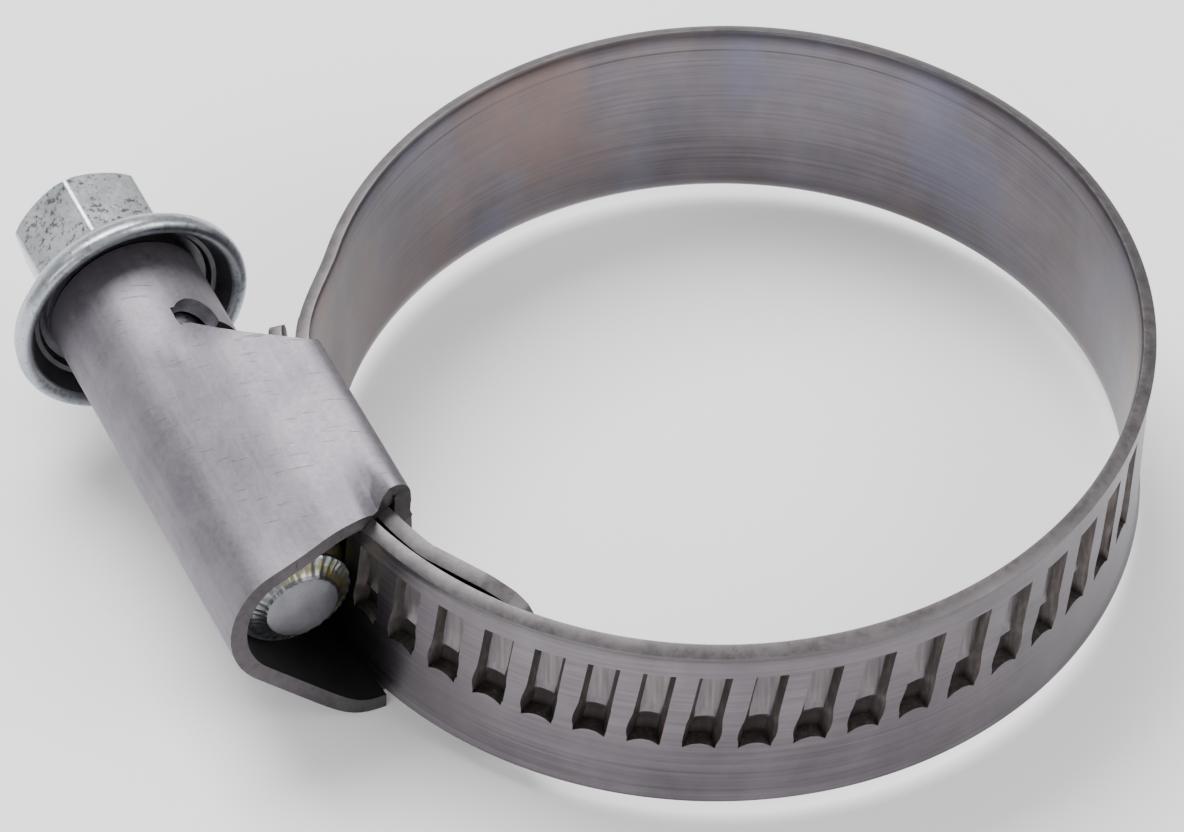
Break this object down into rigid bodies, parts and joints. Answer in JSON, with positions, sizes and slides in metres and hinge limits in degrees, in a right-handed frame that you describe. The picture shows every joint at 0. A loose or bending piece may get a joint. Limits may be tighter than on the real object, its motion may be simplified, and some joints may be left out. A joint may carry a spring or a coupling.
{
  "type": "worm-drive hose clamp",
  "caption": "Worm-drive hose clamp with a pressed-thread steel band, a folded one-piece housing and a flanged hex-head worm screw.",
  "frame": {"origin": "on the hose axis, in the plane of the band's lower edge", "axes": "+Z along the hose axis; +X from the hose axis to the housing; +Y along the screw from its head to its tip"},
  "size_m": [0.0554, 0.0478, 0.0148],
  "materials": {
    "housing_steel": "satin grey rolled steel",
    "band_steel": "satin rolled steel with faint heat tint",
    "zinc_screw": "bluish zinc plating, dull with dark specks"
  },
  "bodies": {
    "root": {"housing": "housing_steel", "fixed_band_end": "band_steel"},
    "screw": {"worm_screw": "zinc_screw"},
    "band_span_01": {"band_span_01": "band_steel"},
    "band_span_02": {"band_span_02": "band_steel"},
    "band_span_03": {"band_span_03": "band_steel"},
    "band_span_04": {"band_span_04": "band_steel"},
    "band_span_05": {"band_span_05": "band_steel"},
    "band_span_06": {"band_span_06": "band_steel"},
    "threaded_end": {"threaded_band_end": "band_steel"}
  },
  "joints": [
    {"name": "screw_turn", "type": "hinge", "parent": "root", "child": "screw", "pos_m": [0.02682, 0, 0.0072], "axis": [0, 1, 0], "range_deg": [0, 1080]},
    {"name": "band_flex_01", "type": "hinge", "parent": "root", "child": "band_span_01", "pos_m": [0.01819, -0.0105, 0.006], "axis": [0, 0, -1], "range_deg": [0, 4.66]},
    {"name": "band_flex_02", "type": "hinge", "parent": "band_span_01", "child": "band_span_02", "pos_m": [0.00544, -0.02028, 0.006], "axis": [0, 0, -1], "range_deg": [0, 2.45]},
    {"name": "band_flex_03", "type": "hinge", "parent": "band_span_02", "child": "band_span_03", "pos_m": [-0.0105, -0.01819, 0.006], "axis": [0, 0, -1], "range_deg": [0, 2.67]},
    {"name": "band_flex_04", "type": "hinge", "parent": "band_span_03", "child": "band_span_04", "pos_m": [-0.02028, -0.00544, 0.006], "axis": [0, 0, -1], "range_deg": [0, 3.14]},
    {"name": "band_flex_05", "type": "hinge", "parent": "band_span_04", "child": "band_span_05", "pos_m": [-0.01819, 0.0105, 0.006], "axis": [0, 0, -1], "range_deg": [0, 2.04]},
    {"name": "band_flex_06", "type": "hinge", "parent": "band_span_05", "child": "band_span_06", "pos_m": [-0.00624, 0.02036, 0.006], "axis": [0, 0, -1], "range_deg": [0, 1.93]},
    {"name": "band_flex_07", "type": "hinge", "parent": "band_span_06", "child": "threaded_end", "pos_m": [0.00971, 0.01979, 0.006], "axis": [0, 0, -1], "range_deg": [0, 4.22]}
  ],
  "couplings": [
    {"joint": "band_flex_01", "follows": "screw_turn", "ratio": 0.0043148},
    {"joint": "band_flex_02", "follows": "screw_turn", "ratio": 0.0022685},
    {"joint": "band_flex_03", "follows": "screw_turn", "ratio": 0.0024722},
    {"joint": "band_flex_04", "follows": "screw_turn", "ratio": 0.0029065},
    {"joint": "band_flex_05", "follows": "screw_turn", "ratio": 0.0018889},
    {"joint": "band_flex_06", "follows": "screw_turn", "ratio": 0.001787},
    {"joint": "band_flex_07", "follows": "screw_turn", "ratio": 0.0039074}
  ]
}
